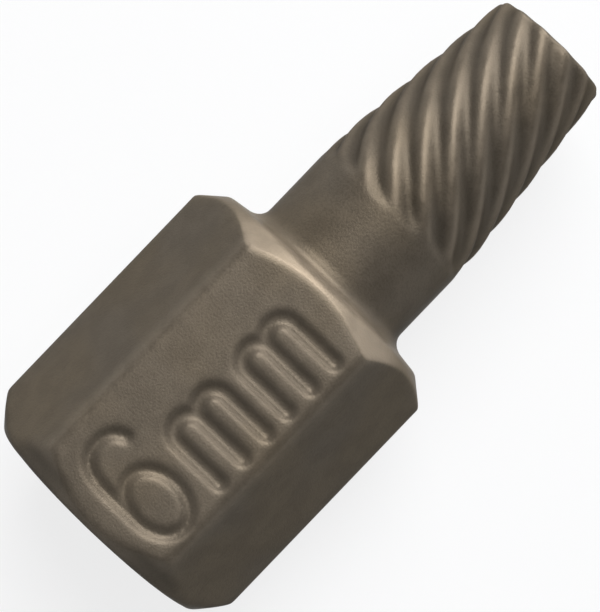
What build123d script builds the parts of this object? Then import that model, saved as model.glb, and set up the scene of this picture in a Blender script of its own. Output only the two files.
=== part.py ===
import os
from math import cos, pi, radians, sin, tan

from build123d import *

os.makedirs("parts", exist_ok=True)

# Screw extractor, one piece of steel, lying on a flat of its head.
# +X runs along the axis from the drive end to the tip, and the origin is on the axis at the drive end.
# Lengths are in millimetres and angles in degrees. Slopes are measured from the axis.

# Hexagon head
across_flats = 10.0
head_length = 11.88
corner_round = 0.25

# Turned chamfer at each end of the head, around a flat end face
drive_face_radius = 4.75
drive_chamfer_slope = 40.0
shoulder_face_radius = 4.65
shoulder_chamfer_slope = 50.0

# Plain round neck
neck_radius = 3.31
neck_length = 3.5
neck_fillet = 0.65

# Tapered shank with left-hand spiral splines
shank_length = 8.62
straight_length = 1.05
taper_slope = 6.3
spline_count = 13
spline_lead = 19.6
first_spline_angle = 9.8
flute_depth = 0.15
crest_relief = 0.015

# Run-out, where the flutes climb back to the neck, and rounded rim of the tip
runout_length = 0.6
tip_round = 0.3

# Turn of the splines from one section of the shank to the next
section_turn = 3.0

neck_end = head_length + neck_length
runout_end = neck_end + runout_length
taper_start = neck_end + straight_length
overall_length = neck_end + shank_length
rim_start = overall_length - tip_round


def crest_radius_at(x):
    """Radius of the spline crests, which follow the neck and then taper towards the tip."""
    taper = max(0.0, x - taper_start) * tan(radians(taper_slope))
    return neck_radius - crest_relief - taper


def flute_depth_at(x):
    """Depth of the flutes, which is less where the shank is thinner."""
    return flute_depth * crest_radius_at(x) / neck_radius


def polar(radius, angle):
    return (radius * cos(angle), radius * sin(angle))


def hexagon_head():
    """Hexagon bar with round corners, turned to a chamfer at both ends."""
    hexagon = RegularPolygon(across_flats / 2, 6, major_radius=False)
    bar = extrude(Plane.YZ * fillet(hexagon.vertices(), corner_round), head_length)
    turned_radius = 0.6 * across_flats
    drive_rise = (turned_radius - drive_face_radius) / tan(radians(drive_chamfer_slope))
    shoulder_rise = (turned_radius - shoulder_face_radius) / tan(radians(shoulder_chamfer_slope))
    outline = Polyline(
        (0, 0),
        (0, drive_face_radius),
        (drive_rise, turned_radius),
        (head_length - shoulder_rise, turned_radius),
        (head_length, shoulder_face_radius),
        (head_length, 0),
        close=True,
    )
    return bar & revolve(make_face(outline), Axis.X)


def round_neck():
    """Round neck, filleted into the shoulder of the head."""
    shoulder = (head_length, neck_radius + neck_fillet)
    fillet_end = (head_length + neck_fillet, neck_radius)
    outline = [
        Line((head_length, 0), shoulder),
        RadiusArc(shoulder, fillet_end, -neck_fillet),
        Polyline(fillet_end, (neck_end, neck_radius), (neck_end, 0), (head_length, 0)),
    ]
    return revolve(make_face(outline), Axis.X)


def spline_section(x, crest_radius, depth):
    """Section across the shank: a smooth wave from flute bottom over crest to flute bottom per spline."""
    root_radius = crest_radius - depth
    half_pitch = pi / spline_count
    waves = []
    for number in range(spline_count):
        crest = 2 * half_pitch * number
        start = crest - half_pitch
        end = crest + half_pitch
        wave = Spline(
            polar(root_radius, start),
            polar(crest_radius, crest),
            polar(root_radius, end),
            tangents=[polar(1, start + pi / 2), polar(1, end + pi / 2)],
        )
        waves.append(wave)
    turn = radians(first_spline_angle) - 2 * pi * (x - neck_end) / spline_lead
    plane = Plane(origin=(x, 0, 0), x_dir=(0, cos(turn), sin(turn)), z_dir=(1, 0, 0))
    return plane * make_face(waves)


def flute_runout():
    """Start of the splines, where the flutes deepen from nothing at the neck."""
    sections = []
    for share in (0, 0.33, 0.67, 1):
        x = neck_end + runout_length * share
        depth = flute_depth_at(x) * sin(pi / 2 * share)
        sections.append(spline_section(x, crest_radius_at(x), depth))
    return loft(sections)


def spiral_splines():
    """Splines at full depth, through sections that turn about the axis."""
    length = rim_start - runout_end
    steps = round(360 * length / spline_lead / section_turn)
    sections = []
    for step in range(steps + 1):
        x = runout_end + length * step / steps
        sections.append(spline_section(x, crest_radius_at(x), flute_depth_at(x)))
    return loft(sections)


def tip_rim():
    """Last stretch of the splines, rounded over in three narrow bevels towards the flat end of the tip."""
    sections = []
    for angle in (0, 30, 60, 90):
        x = rim_start + tip_round * sin(radians(angle))
        drop = tip_round * (1 - cos(radians(angle)))
        sections.append(spline_section(x, crest_radius_at(x) - drop, flute_depth_at(x)))
    return loft(sections, ruled=True)


extractor = hexagon_head() + round_neck() + flute_runout() + spiral_splines() + tip_rim()
export_step(extractor, "parts/extractor.step")
print("extractor", extractor.is_valid, "volume", round(extractor.volume, 2))
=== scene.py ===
from math import atan2, copysign, cos, pi, radians, sin, sqrt, tan

import bmesh
import bpy
from mathutils import Matrix, Vector


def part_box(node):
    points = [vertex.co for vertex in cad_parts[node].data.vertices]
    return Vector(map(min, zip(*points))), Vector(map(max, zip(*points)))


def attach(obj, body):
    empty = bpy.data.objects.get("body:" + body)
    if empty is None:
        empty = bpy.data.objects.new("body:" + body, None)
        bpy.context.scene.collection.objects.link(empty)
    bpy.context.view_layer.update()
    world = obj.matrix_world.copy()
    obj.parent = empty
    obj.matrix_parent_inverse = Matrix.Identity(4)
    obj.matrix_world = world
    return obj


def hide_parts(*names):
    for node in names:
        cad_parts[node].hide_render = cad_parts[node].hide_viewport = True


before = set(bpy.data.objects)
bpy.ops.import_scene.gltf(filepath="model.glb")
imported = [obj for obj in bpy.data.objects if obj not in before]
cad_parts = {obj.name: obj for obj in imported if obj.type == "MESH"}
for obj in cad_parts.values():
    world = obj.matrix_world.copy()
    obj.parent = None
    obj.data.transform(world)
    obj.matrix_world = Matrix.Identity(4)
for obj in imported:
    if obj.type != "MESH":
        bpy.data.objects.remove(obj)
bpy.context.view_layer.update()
print("frame loaded:", sorted(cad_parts))

mm = 0.001
tolerance = 1e-7  # smaller differences count as none


# general helpers

def deselectAll():
    if bpy.context.mode != "OBJECT":
        bpy.ops.object.mode_set(mode="OBJECT")
    for thing in bpy.context.selected_objects:
        thing.select_set(False)


def makeActive(thing):
    deselectAll()
    thing.select_set(True)
    bpy.context.view_layer.objects.active = thing


def applyTransform():
    bpy.ops.object.transform_apply(location=True, rotation=True, scale=True)


def applyModifiers(thing):
    makeActive(thing)
    for modifier in list(thing.modifiers):
        bpy.ops.object.modifier_apply(modifier=modifier.name)


def cutWith(body, cutter, operation):
    # exact Boolean, then the cutter is thrown away
    boolean = body.modifiers.new("cut", "BOOLEAN")
    boolean.operation = operation
    boolean.solver = "EXACT"
    boolean.object = cutter
    applyModifiers(body)
    bpy.data.objects.remove(cutter)


def remeshEvenly(body, voxel):
    remesh = body.modifiers.new("evenSkin", "REMESH")
    remesh.mode = "VOXEL"
    remesh.voxel_size = voxel
    applyModifiers(body)


def smoothSkin(body, rounds, groupName="", factor=0.5):
    # without a group name the whole body is smoothed
    smooth = body.modifiers.new("smooth", "SMOOTH")
    smooth.factor = factor
    smooth.iterations = rounds
    smooth.vertex_group = groupName
    applyModifiers(body)


# the tool, modelled along +X from the drive end and scaled to metres at the end
# lengths are in millimetres; slopes are in degrees from the axis

tool = {
    "acrossFlats": 10.0,
    "cornerRound": 0.5,
    "cornerSegments": 5,
    "headLength": 11.88,
    "driveFaceRadius": 4.75,
    "driveChamferSlope": 40.0,
    "shoulderFaceRadius": 4.68,
    "shoulderChamferSlope": 50.0,
    "blankShare": 0.6,  # of the width across flats; this radius takes in the corners
    "neckLength": 3.5,
    "neckRadius": 3.31,
    "neckFillet": 0.65,
    "filletSteps": 8,
    "shoulderDraft": 0.1,
    "shankLength": 8.62,
    "straightLength": 1.05,  # of the shank, before its taper
    "taperSlope": 6.3,
    "tipRound": 0.22,
    "tipSteps": 6,
    "voxel": 0.101,
    "tumbling": 16,  # rounds of smoothing on the head
    "tumblingReach": 0.2,  # how far they go past the head
    "shoulderTumbling": 0.35,  # their weight at the shoulder
    "softening": 3,  # rounds of smoothing on everything
    # keeps the size mark crisp: lowest and highest x, lowest and highest y, lowest z
    "markArea": (0.85, 10.95, -2.62, 2.3, 4.0),
}
splines = {
    "count": 13,
    "lead": 19.6,
    "firstAngle": 9.8,  # of a crest at the end of the neck, in degrees
    "depth": 0.18,
    "relief": 0.015,  # of the crests below the neck
    "runout": 0.6,
    "pointsEach": 16,
    "ringStep": 0.1,
}
neckEnd = tool["headLength"] + tool["neckLength"]
taperStart = neckEnd + tool["straightLength"]
toolEnd = neckEnd + tool["shankLength"]


def crestRadius(x):
    taper = max(0.0, x - taperStart) * tan(radians(tool["taperSlope"]))
    return tool["neckRadius"] - splines["relief"] - taper


def waveHeight(share):
    # share runs 0 at a crest to 1 at a flute bottom; 1 is full height
    return (1 + cos(pi * share)) / 2


class Turning:
    # a closed blank that grows ring by ring along +X
    def __init__(self, name, radius):
        deselectAll()
        self.points = splines["count"] * splines["pointsEach"]
        bpy.ops.mesh.primitive_circle_add(
            vertices=self.points, radius=radius, fill_type="NGON", rotation=(0, pi / 2, 0))
        self.body = bpy.context.object
        self.body.name = name
        applyTransform()
        bpy.ops.object.mode_set(mode="EDIT")
        bpy.ops.mesh.select_all(action="SELECT")
        self.x = 0.0
        self.turned = 0.0
        # places on a spline, from crest to flute bottom
        self.places = splines["pointsEach"] // 2 + 1
        self.radii = [radius] * self.places

    def turn(self, angle):
        # with no window the rotate operator turns the other way, hence the minus
        bpy.ops.transform.rotate(
            value=-angle, orient_axis="X", center_override=(self.x, 0, 0))
        self.turned += angle

    def ring(self, x, radii, turned=None):
        # radii holds one radius for each place on a spline
        bpy.ops.mesh.extrude_region_move(
            TRANSFORM_OT_translate={"value": (x - self.x, 0, 0)})
        self.x = x
        if turned is not None and abs(turned - self.turned) > tolerance:
            self.turn(turned - self.turned)
        ratios = [new / old for new, old in zip(radii, self.radii)]
        if max(ratios) - min(ratios) > tolerance:
            self.resizeByPlace(ratios)
        elif abs(ratios[0] - 1) > tolerance:
            self.resize(ratios[0])
        self.radii = list(radii)

    def plainRing(self, x, radius):
        self.ring(x, [radius] * self.places)

    def resize(self, ratio):
        bpy.ops.transform.resize(
            value=(1, ratio, ratio), center_override=(self.x, 0, 0))

    def resizeByPlace(self, ratios):
        mesh = bmesh.from_edit_mesh(self.body.data)
        onRing = [v for v in mesh.verts if v.select]
        step = 2 * pi / self.points
        places = {}
        for v in onRing:
            angle = atan2(v.co.z, v.co.y) - self.turned - radians(splines["firstAngle"])
            place = round(angle / step) % splines["pointsEach"]
            places.setdefault(min(place, splines["pointsEach"] - place), []).append(v)
        for place, ratio in enumerate(ratios):
            self.selectOnly(mesh, places[place])
            self.resize(ratio)
        self.selectOnly(mesh, onRing)

    def selectOnly(self, mesh, chosen):
        bpy.ops.mesh.select_all(action="DESELECT")
        for v in chosen:
            v.select_set(True)
        mesh.select_flush_mode()
        bmesh.update_edit_mesh(self.body.data)

    def finish(self):
        bpy.ops.mesh.select_all(action="SELECT")
        bpy.ops.mesh.normals_make_consistent(inside=False)
        bpy.ops.object.mode_set(mode="OBJECT")
        return self.body


def turnHeadAndNeck(blank):
    blankRadius = tool["blankShare"] * tool["acrossFlats"]
    driveSlope = tan(radians(tool["driveChamferSlope"]))
    shoulderSlope = tan(radians(tool["shoulderChamferSlope"]))
    driveRise = (blankRadius - tool["driveFaceRadius"]) / driveSlope
    shoulderRise = (blankRadius - tool["shoulderFaceRadius"]) / shoulderSlope
    blank.plainRing(driveRise, blankRadius)
    blank.plainRing(tool["headLength"] - shoulderRise, blankRadius)
    blank.plainRing(tool["headLength"], tool["shoulderFaceRadius"])
    # the shoulder leans back a little, so that it runs into the fillet without an edge
    fillet = tool["neckFillet"]
    draft = tool["shoulderDraft"]
    for step in range(tool["filletSteps"] + 1):
        angle = pi / 2 * step / tool["filletSteps"]
        along = draft + (fillet - draft) * (1 - cos(angle))
        radius = tool["neckRadius"] + fillet * (1 - sin(angle))
        blank.plainRing(tool["headLength"] + along, radius)
    blank.plainRing(neckEnd, tool["neckRadius"])


def turnSplines(blank):
    # run-out, full depth, then the rounded rim of the tip
    tipRound = tool["tipRound"]
    rimStart = toolEnd - tipRound
    stops = []
    x = neckEnd
    while x + splines["ringStep"] < rimStart - tolerance:
        x += splines["ringStep"]
        stops.append((x, 0.0))
    for step in range(tool["tipSteps"] + 1):
        angle = pi / 2 * step / tool["tipSteps"]
        stops.append((rimStart + tipRound * sin(angle), tipRound * (1 - cos(angle))))
    heights = [waveHeight(place / (blank.places - 1)) for place in range(blank.places)]
    for x, drop in stops:
        share = min(1.0, (x - neckEnd) / splines["runout"])
        crest = crestRadius(x)
        depth = splines["depth"] * crest / tool["neckRadius"] * sin(pi / 2 * share)
        radii = [crest - drop - depth * (1 - height) for height in heights]
        blank.ring(x, radii, turned=-2 * pi * (x - neckEnd) / splines["lead"])


def turnBlank():
    blank = Turning("turnedBlank", tool["driveFaceRadius"])
    # the circle's first point starts at the first crest
    blank.turn(radians(splines["firstAngle"]))
    blank.turned = 0.0
    turnHeadAndNeck(blank)
    turnSplines(blank)
    return blank.finish()


def hexagonBar():
    deselectAll()
    length = 3 * toolEnd  # overhangs both ends of the tool
    bpy.ops.mesh.primitive_cylinder_add(
        vertices=6, radius=tool["acrossFlats"] / sqrt(3), depth=length,
        rotation=(0, pi / 2, 0))
    bar = bpy.context.object
    bar.name = "hexagonBar"
    applyTransform()
    bpy.ops.object.mode_set(mode="EDIT")
    bpy.ops.mesh.select_mode(type="EDGE")
    bpy.ops.mesh.select_all(action="DESELECT")
    mesh = bmesh.from_edit_mesh(bar.data)
    for edge in mesh.edges:
        along = edge.verts[0].co - edge.verts[1].co
        edge.select_set(abs(along.x) > length / 2)
    mesh.select_flush_mode()
    bmesh.update_edit_mesh(bar.data)
    # a round of that radius starts so far from a 120 degree corner
    offset = tool["cornerRound"] * tan(pi / 6)
    bpy.ops.mesh.bevel(offset=offset, segments=tool["cornerSegments"], affect="EDGES")
    bpy.ops.mesh.select_mode(type="VERT")
    bpy.ops.object.mode_set(mode="OBJECT")
    return bar


# size mark, cut as round-bottomed strokes into the flat that faces up

mark = {
    "letterStroke": 0.37,  # radius
    "sixStroke": 0.32,  # radius
    "strokeHeight": 0.16,  # centre of the strokes above the flat
    "baseline": -2.19,
    "legTop": -0.24,
    "legPitch": 1.18,
    "lettersStart": (4.38, 7.80),
    # centre and radii of the arcs that the 6 is made of
    "sixLoop": (2.37, -1.09, 0.95, 1.31),
    "sixShoulder": (2.55, 0.1, 1.13, 1.74),
    "sixHook": (2.55, 0.96, 0.78, 0.88),
    "shoulderFullness": 2.8,
    # fineness of the cutter
    "arcSteps": 24,
    "tubeResolution": 6,
    "ballSegments": 24,
    "voxel": 0.05,
}


def arc(centreX, centreY, radiusX, radiusY, start, end, steps=mark["arcSteps"], fullness=2.0):
    # from start to end in degrees; fullness 2 is an ellipse, more is squarer
    points = []
    for step in range(steps + 1):
        angle = radians(start + (end - start) * step / steps)
        c, s = cos(angle), sin(angle)
        points.append((centreX + radiusX * copysign(abs(c) ** (2 / fullness), c),
                       centreY + radiusY * copysign(abs(s) ** (2 / fullness), s)))
    return points


def markStrokes():
    # each stroke has a radius and the points that it runs through
    strokes = []
    pitch = mark["legPitch"]
    for start in mark["lettersStart"]:
        legs = [start, start + pitch, start + 2 * pitch]
        feet = [(leg, mark["baseline"]) for leg in legs]
        first, second = (
            arc(leg + pitch / 2, mark["legTop"], pitch / 2, pitch / 2, 180, 0)
            for leg in legs[:2])
        strokes.append((mark["letterStroke"], [feet[0]] + first + [feet[1]]))
        strokes.append((mark["letterStroke"], second + [feet[2]]))
    loopLeft = (mark["sixLoop"][0] - mark["sixLoop"][2], mark["sixLoop"][1])
    loop = arc(*mark["sixLoop"], 0, 360, steps=2 * mark["arcSteps"])
    shoulder = arc(*mark["sixShoulder"], 180, 90, fullness=mark["shoulderFullness"])
    hook = arc(*mark["sixHook"], 90, 20)
    strokes.append((mark["sixStroke"], loop))
    strokes.append((mark["sixStroke"], [loopLeft] + shoulder + hook[1:]))
    return strokes


def tubeAlong(points, radius, height):
    curve = bpy.data.curves.new("stroke", "CURVE")
    curve.dimensions = "3D"
    curve.bevel_depth = radius
    curve.bevel_resolution = mark["tubeResolution"]
    curve.use_fill_caps = True
    path = curve.splines.new("POLY")
    path.points.add(len(points) - 1)
    for place, (x, y) in zip(path.points, points):
        place.co = (x, y, height, 1)
    tube = bpy.data.objects.new("stroke", curve)
    bpy.context.scene.collection.objects.link(tube)
    makeActive(tube)
    bpy.ops.object.convert(target="MESH")
    return bpy.context.object


def ballAt(x, y, height, radius):
    deselectAll()
    segments = mark["ballSegments"]
    bpy.ops.mesh.primitive_uv_sphere_add(
        segments=segments, ring_count=segments // 2, radius=radius, location=(x, y, height))
    return bpy.context.object


def markCutter():
    # one tube for each stroke with a ball at its ends, run together by a fine remesh
    parts = []
    height = tool["acrossFlats"] / 2 + mark["strokeHeight"]
    for radius, points in markStrokes():
        parts.append(tubeAlong(points, radius, height))
        parts.append(ballAt(*points[0], height, radius))
        parts.append(ballAt(*points[-1], height, radius))
    deselectAll()
    for part in parts:
        part.select_set(True)
    bpy.context.view_layer.objects.active = parts[0]
    bpy.ops.object.join()
    cutter = bpy.context.object
    cutter.name = "markCutter"
    applyTransform()
    remeshEvenly(cutter, mark["voxel"])
    return cutter


def softenHead(body):
    # the head's edges are tumbled softer than the splines and the size mark
    group = body.vertex_groups.new(name="headEdges")
    left, right, low, high, bottom = tool["markArea"]
    sides, shoulder = [], []
    for point in body.data.vertices:
        x, y, z = point.co
        onMark = z > bottom and left < x < right and low < y < high
        if x < tool["headLength"] + tool["tumblingReach"] and not onMark:
            (shoulder if x > right else sides).append(point.index)
    group.add(sides, 1.0, "REPLACE")
    group.add(shoulder, tool["shoulderTumbling"], "REPLACE")
    smoothSkin(body, tool["tumbling"], group.name)
    body.vertex_groups.clear()


def modelTool():
    body = turnBlank()
    print("blank turned:", len(body.data.vertices), "points")
    cutWith(body, hexagonBar(), "INTERSECT")
    print("hexagon cut:", len(body.data.vertices), "points")
    cutWith(body, markCutter(), "DIFFERENCE")
    print("size mark cut:", len(body.data.vertices), "points")
    remeshEvenly(body, tool["voxel"])
    softenHead(body)
    smoothSkin(body, tool["softening"])
    makeActive(body)
    bpy.ops.object.shade_smooth()
    bpy.ops.transform.resize(value=(mm, mm, mm), center_override=(0, 0, 0))
    applyTransform()
    body.name = "toolBody"
    print("skin done:", len(body.data.polygons), "faces")
    return body


# blasted steel: fine grain and uneven tone, with painted highlight on the shoulder, the top
# and bottom flats, the long edges and the crests (the edges and crests partly wear), and
# painted shade in the flutes and on the drive end's corners

steel = {
    "colour": (0.115, 0.100, 0.081),
    "warmTone": (0.122, 0.103, 0.078),
    # paler colour: painted highlight, partly wear on the edges and crests
    "wearAndHighlightColour": (0.38, 0.32, 0.25),
    # darker colour: random mottle and grain, and painted shade in the flutes and on the drive
    # end's corners
    "mottleAndShadeColour": (0.060, 0.052, 0.042),
    # the head's coat is duller than the splines
    "headMetallic": 0.38,
    "shankMetallic": 0.6,
    "specular": 0.02,
    "edgeTint": (0.3, 0.3, 0.3),
    "headRoughness": (0.36, 0.46),
    "shankRoughness": (0.42, 0.52),
    "grainHeight": 0.009,  # in millimetres
    # noises: scale per millimetre, detail
    "grain": (12.0, 2.0),
    "mottle": (1.1, 3.0),
    "tone": (0.28, 1.0),
    # between which values of a noise its effect grows, and to how much
    "toneRange": (0.35, 0.65),
    "mottleRange": (0.62, 0.38),
    "mottleShade": 0.22,
    "grainRange": (0.55, 0.35),
    "grainShade": 0.25,
    "unevenShares": (0.6, 0.4),  # of grain and mottle in the roughness
    "unevenRange": (0.35, 0.65),
    "patchyRange": (0.3, 0.6),
    "patchyLeast": 0.8,
    # how much each part is paled or darkened: painted highlight on the shoulder and the top
    # and bottom flats, wear and painted highlight on the long edges and the crests, painted
    # shade in the flutes and on the drive end's corners
    "flatHighlight": 0.1,
    "shoulderHighlight": 0.36,
    "edgeWearAndHighlight": 0.02,
    "crestWearAndHighlight": 0.15,
    "fluteShade": 0.35,
    "cornerShade": 0.45,
    # between which distances it fades in, in millimetres: up or down from the axis
    "flatHeights": (4.2, 4.9),
    "shoulderHeights": (2.6, 4.0),
    "shoulderLeast": 0.3,
    # out from the axis
    "edgeRadii": (5.5, 5.68),
    "cornerRadii": (4.95, 5.35),
    # along from the drive end
    "cornerLengths": (0.95, 0.5),
    # out from the shoulder chamfer's cone
    "coneFade": (-0.13, -0.02),
    # along from the shoulder's face
    "faceFade": (-0.1, 0.0),
    "neckFade": (0.0, 0.55),
    # along from the end of the neck
    "shankFade": (0.1, 0.5),
    "coatFade": (-0.6, 0.8),
    # out from the crests of the splines
    "crestFade": (-0.14, 0.0),
    "fluteFade": (-0.02, -0.17),
}


def around(place, limits):
    return place + limits[0], place + limits[1]


class NodeSheet:
    # short ways to lay out and join the nodes of one material
    def __init__(self, material):
        material.use_nodes = True
        self.nodes = material.node_tree.nodes
        self.links = material.node_tree.links
        self.shader = self.nodes["Principled BSDF"]
        self.output = self.nodes["Material Output"]

    def plug(self, value, socket):
        if isinstance(value, bpy.types.NodeSocket):
            self.links.new(value, socket)
        else:
            socket.default_value = value

    def maths(self, operation, first, second=0.0):
        node = self.nodes.new("ShaderNodeMath")
        node.operation = operation
        self.plug(first, node.inputs[0])
        self.plug(second, node.inputs[1])
        return node.outputs[0]

    def plus(self, first, second):
        return self.maths("ADD", first, second)

    def minus(self, first, second):
        return self.maths("SUBTRACT", first, second)

    def times(self, first, second):
        return self.maths("MULTIPLY", first, second)

    def larger(self, first, second):
        return self.maths("MAXIMUM", first, second)

    def objectPlace(self):
        # place on the object in millimetres
        coordinates = self.nodes.new("ShaderNodeTexCoord")
        mapping = self.nodes.new("ShaderNodeMapping")
        mapping.inputs["Scale"].default_value = (1 / mm, 1 / mm, 1 / mm)
        self.links.new(coordinates.outputs["Object"], mapping.inputs["Vector"])
        return mapping.outputs["Vector"]

    def split(self, vector):
        node = self.nodes.new("ShaderNodeSeparateXYZ")
        self.links.new(vector, node.inputs[0])
        return node.outputs

    def noise(self, place, scale, detail):
        node = self.nodes.new("ShaderNodeTexNoise")
        self.links.new(place, node.inputs["Vector"])
        node.inputs["Scale"].default_value = scale
        node.inputs["Detail"].default_value = detail
        return node.outputs["Fac"]

    def ramp(self, value, low, high, lowResult=0.0, highResult=1.0):
        node = self.nodes.new("ShaderNodeMapRange")
        node.interpolation_type = "SMOOTHSTEP"
        self.plug(value, node.inputs["Value"])
        node.inputs["From Min"].default_value = low
        node.inputs["From Max"].default_value = high
        self.plug(lowResult, node.inputs["To Min"])
        self.plug(highResult, node.inputs["To Max"])
        return node.outputs["Result"]

    def blend(self, share, first, second):
        node = self.nodes.new("ShaderNodeMix")
        node.data_type = "RGBA"
        self.plug(share, node.inputs["Factor"])
        for value, socket in ((first, node.inputs["A"]), (second, node.inputs["B"])):
            joined = isinstance(value, bpy.types.NodeSocket)
            self.plug(value if joined else (*value, 1), socket)
        return node.outputs["Result"]

    def bump(self, height, distance):
        node = self.nodes.new("ShaderNodeBump")
        node.inputs["Strength"].default_value = 1.0
        node.inputs["Distance"].default_value = distance
        self.links.new(height, node.inputs["Height"])
        return node.outputs["Normal"]


class SteelSheet(NodeSheet):
    # adds the distances and noises that the parts of the steel share
    def __init__(self, material):
        super().__init__(material)
        place = self.objectPlace()
        self.along, across, upward = self.split(place)
        squares = self.plus(self.times(across, across), self.times(upward, upward))
        self.radius = self.maths("SQRT", squares)
        self.lift = self.maths("ABSOLUTE", upward)
        self.grain = self.noise(place, *steel["grain"])
        self.mottle = self.noise(place, *steel["mottle"])
        self.tone = self.noise(place, *steel["tone"])

    def crestHeight(self):
        # 0 on the crests of the splines, less towards the flute bottoms
        past = self.larger(self.minus(self.along, taperStart), 0.0)
        taper = self.times(past, tan(radians(tool["taperSlope"])))
        crest = tool["neckRadius"] - splines["relief"]
        return self.minus(self.plus(self.radius, taper), crest)

    def shoulderHighlight(self):
        # painted highlight on the chamfer's cone and all that lies between it and the neck
        head = tool["headLength"]
        slope = tan(radians(tool["shoulderChamferSlope"]))
        cone = tool["shoulderFaceRadius"] + head * slope
        fromCone = self.plus(self.times(self.along, slope), self.radius)
        onCone = self.ramp(fromCone, *around(cone, steel["coneFade"]))
        pastCone = self.ramp(self.along, *around(head, steel["faceFade"]))
        beforeNeck = self.ramp(self.along, *around(head, steel["neckFade"]), 1.0, 0.0)
        onShoulder = self.times(self.larger(onCone, pastCone), beforeNeck)
        # strongest above and below the axis
        aboveAndBelow = self.ramp(
            self.lift, *steel["shoulderHeights"], steel["shoulderLeast"], 1.0)
        return self.times(self.times(onShoulder, aboveAndBelow), steel["shoulderHighlight"])

    def wearAndHighlight(self, height, onShank):
        # paler: painted highlight on the shoulder and the flats at the top and bottom, wear
        # and painted highlight on the long edges and the crests
        # painted highlight: the flats at the top and bottom are paler
        flats = self.times(self.ramp(self.lift, *steel["flatHeights"]), steel["flatHighlight"])
        # the long edges are paler, partly wear and partly painted highlight
        edges = self.times(self.ramp(self.radius, *steel["edgeRadii"]), steel["edgeWearAndHighlight"])
        # the crests are paler, partly wear and partly painted highlight
        onCrests = self.ramp(height, *steel["crestFade"])
        crests = self.times(onCrests, self.times(onShank, steel["crestWearAndHighlight"]))
        most = self.larger(self.larger(self.shoulderHighlight(), flats), self.larger(edges, crests))
        patchy = self.ramp(self.mottle, *steel["patchyRange"], steel["patchyLeast"], 1.0)
        return self.times(most, patchy)

    def shaded(self, height, onShank):
        # darker: painted shade in the flutes and on the chamfer's corners at the drive end
        inFlutes = self.ramp(height, *steel["fluteFade"])
        flutes = self.times(inFlutes, self.times(onShank, steel["fluteShade"]))
        outwards = self.ramp(self.radius, *steel["cornerRadii"])
        nearEnd = self.ramp(self.along, *steel["cornerLengths"])
        corners = self.times(self.times(outwards, nearEnd), steel["cornerShade"])
        return self.larger(flutes, corners)

    def colour(self):
        height = self.crestHeight()
        onShank = self.ramp(self.along, *around(neckEnd, steel["shankFade"]))
        inTone = self.ramp(self.tone, *steel["toneRange"])
        inMottle = self.ramp(self.mottle, *steel["mottleRange"])
        inGrain = self.ramp(self.grain, *steel["grainRange"])
        mottleAndShade = steel["mottleAndShadeColour"]
        colour = self.blend(inTone, steel["colour"], steel["warmTone"])
        colour = self.blend(self.times(inMottle, steel["mottleShade"]), colour, mottleAndShade)
        colour = self.blend(self.times(inGrain, steel["grainShade"]), colour, mottleAndShade)
        colour = self.blend(self.wearAndHighlight(height, onShank), colour, steel["wearAndHighlightColour"])
        return self.blend(self.shaded(height, onShank), colour, mottleAndShade)

    def gloss(self):
        # metallic and roughness, from the head's coat to the barer steel of the shank
        bare = self.ramp(self.along, *around(neckEnd, steel["coatFade"]))
        metallic = self.ramp(bare, 0.0, 1.0, steel["headMetallic"], steel["shankMetallic"])
        lowest, highest = (
            self.ramp(bare, 0.0, 1.0, head, shank)
            for head, shank in zip(steel["headRoughness"], steel["shankRoughness"]))
        grainShare, mottleShare = steel["unevenShares"]
        uneven = self.plus(
            self.times(self.grain, grainShare), self.times(self.mottle, mottleShare))
        return metallic, self.ramp(uneven, *steel["unevenRange"], lowest, highest)


def blastedSteel():
    material = bpy.data.materials.new("blastedSteel")
    sheet = SteelSheet(material)
    inputs = sheet.shader.inputs
    metallic, roughness = sheet.gloss()
    sheet.plug(sheet.colour(), inputs["Base Color"])
    sheet.plug(metallic, inputs["Metallic"])
    sheet.plug(roughness, inputs["Roughness"])
    sheet.plug(sheet.bump(sheet.grain, steel["grainHeight"] * mm), inputs["Normal"])
    sheet.plug((*steel["edgeTint"], 1), inputs["Specular Tint"])
    sheet.plug(steel["specular"], inputs["Specular IOR Level"])
    return material


toolBody = modelTool()
toolBody.data.materials.clear()
toolBody.data.materials.append(blastedSteel())
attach(toolBody, "root")
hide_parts("extractor")
print("steel applied")


# floor and light, with lengths in metres and angles in degrees

studio = {
    "floorRadius": 0.6,
    "floorSides": 128,
    "coveRadius": 0.1,
    "coveSteps": 6,
    "coveHeight": 0.24,
    "creaseAngle": 30,
    "floorColour": (0.75, 0.79, 0.85),
    "floorRoughness": 0.9,
    "floorSpecular": 0.1,
    "floorWhite": 0.8,
    "worldStrength": 0.07,
    "worldColour": (1.0, 1.0, 1.0),
    "lamps": [
        # name, elevation, azimuth, distance, width, height, power, colour
        ("key", 53, 28, 0.4, 0.28, 0.28, 1.5, (1.0, 0.96, 0.91)),
        ("side", 44, 48, 0.4, 0.2, 0.2, 0.24, (1.0, 0.96, 0.91)),
        ("low", 6, 7, 0.4, 0.2, 0.2, 1.25, (1.0, 0.96, 0.91)),
        ("front", -1.5, 8, 0.055, 0.04, 0.007, 0.01, (1.0, 0.96, 0.91)),
        ("top", 72, 0, 0.4, 0.32, 0.32, 0.4, (1.0, 0.97, 0.92)),
    ],
}
middle = Vector((toolEnd / 2 * mm, 0, 0))  # of the tool, on its axis


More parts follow.
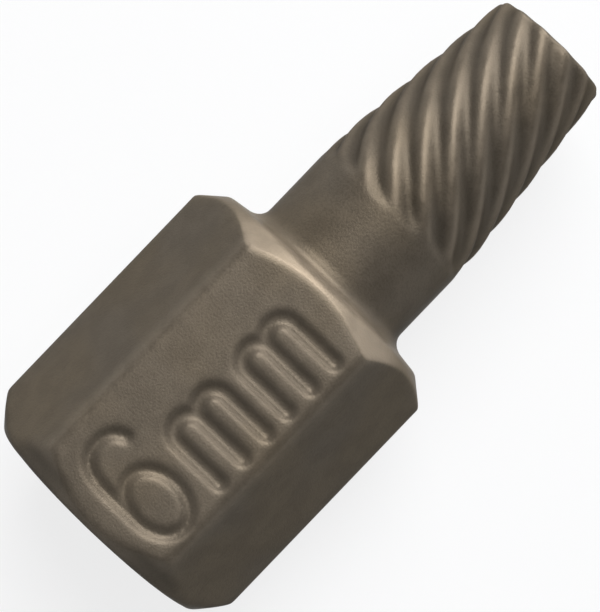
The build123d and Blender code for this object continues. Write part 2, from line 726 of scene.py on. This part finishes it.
def paleFloor():
    material = bpy.data.materials.new("paleFloor")
    sheet = NodeSheet(material)
    inputs = sheet.shader.inputs
    sheet.plug((*studio["floorColour"], 1), inputs["Base Color"])
    sheet.plug(studio["floorRoughness"], inputs["Roughness"])
    sheet.plug(studio["floorSpecular"], inputs["Specular IOR Level"])
    # nearly white where the camera, a gloss or a glass looks at it, with the shadow kept
    path = sheet.nodes.new("ShaderNodeLightPath").outputs
    looked = sheet.larger(path["Is Glossy Ray"], path["Is Transmission Ray"])
    looked = sheet.larger(path["Is Camera Ray"], looked)
    glow = sheet.nodes.new("ShaderNodeEmission")
    mix = sheet.nodes.new("ShaderNodeMixShader")
    sheet.plug(sheet.times(looked, studio["floorWhite"]), mix.inputs[0])
    sheet.plug(sheet.shader.outputs[0], mix.inputs[1])
    sheet.plug(glow.outputs[0], mix.inputs[2])
    sheet.plug(mix.outputs[0], sheet.output.inputs["Surface"])
    return material


def addFloor():
    # a round floor whose rim turns up into a low wall, so that no horizon shows
    deselectAll()
    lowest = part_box("extractor")[0].z
    radius = studio["floorRadius"]
    centre = (middle.x, 0, lowest)
    bpy.ops.mesh.primitive_circle_add(
        vertices=studio["floorSides"], radius=radius, fill_type="NGON", location=centre)
    floor = bpy.context.object
    floor.name = "floor"
    applyTransform()
    bpy.ops.object.mode_set(mode="EDIT")
    bpy.ops.mesh.select_mode(type="EDGE")
    bpy.ops.mesh.select_all(action="SELECT")
    cove = studio["coveRadius"]
    steps = studio["coveSteps"]
    turns = [radians(90 * step / steps) for step in range(steps + 1)]
    turnUps = [(cove * sin(turn), cove * (1 - cos(turn))) for turn in turns]
    turnUps.append((cove, studio["coveHeight"]))
    for (lastOut, lastUp), (out, up) in zip(turnUps, turnUps[1:]):
        bpy.ops.mesh.extrude_edges_move(
            TRANSFORM_OT_translate={"value": (0, 0, up - lastUp)})
        growth = (radius + out) / (radius + lastOut)
        bpy.ops.transform.resize(value=(growth, growth, 1), center_override=centre)
    bpy.ops.mesh.select_mode(type="VERT")
    bpy.ops.object.mode_set(mode="OBJECT")
    bpy.ops.object.shade_smooth_by_angle(angle=radians(studio["creaseAngle"]))
    floor.data.materials.append(paleFloor())


def addLights():
    world = bpy.data.worlds.new("studio")
    bpy.context.scene.world = world
    world.use_nodes = True
    background = world.node_tree.nodes["Background"]
    background.inputs["Color"].default_value = (*studio["worldColour"], 1)
    background.inputs["Strength"].default_value = studio["worldStrength"]
    for name, elevation, azimuth, distance, width, height, power, colour in studio["lamps"]:
        rise, turn = radians(elevation), radians(azimuth)
        towards = Vector((cos(rise) * cos(turn), cos(rise) * sin(turn), sin(rise)))
        lamp = bpy.data.lights.new(name, "AREA")
        lamp.shape = "ELLIPSE"
        lamp.size = width
        lamp.size_y = height
        lamp.energy = power
        lamp.color = colour
        holder = bpy.data.objects.new(name, lamp)
        holder.location = middle + towards * distance
        holder.rotation_euler = towards.to_track_quat("Z", "Y").to_euler()
        bpy.context.scene.collection.objects.link(holder)


# camera, square to the axis, with the tool rolled a little about it
# angles are in degrees, lengths in metres

view = {
    "roll": 0.4,
    "tilt": 46.2,  # of the axis in the picture
    "distance": 0.097,
    "targetAlong": 0.01076,
    "targetAcross": 0.0000715,
    "focalPixels": 2646,  # focal length in pixels of the photo
    "photoHeight": 612,
    "sensorWidth": 36,  # in millimetres
    "clipStart": 0.001,
}


def addCamera():
    roll = radians(view["roll"])
    tilt = radians(view["tilt"])
    back = Vector((0, -sin(roll), cos(roll)))
    across = Vector((0, cos(roll), sin(roll)))
    along = Vector((1, 0, 0))
    right = along * cos(tilt) - across * sin(tilt)
    up = along * sin(tilt) + across * cos(tilt)
    target = along * view["targetAlong"] + across * view["targetAcross"]
    lens = bpy.data.cameras.new("camera")
    lens.lens = view["focalPixels"] / view["photoHeight"] * view["sensorWidth"]
    lens.sensor_width = view["sensorWidth"]
    lens.clip_start = view["clipStart"]
    camera = bpy.data.objects.new("camera", lens)
    turn = Matrix((right, up, back)).transposed().to_4x4()
    camera.matrix_world = Matrix.Translation(target + back * view["distance"]) @ turn
    bpy.context.scene.collection.objects.link(camera)
    bpy.context.scene.camera = camera


addFloor()
addLights()
addCamera()
bpy.context.scene.view_settings.view_transform = "Standard"
print("floor, light and camera placed")
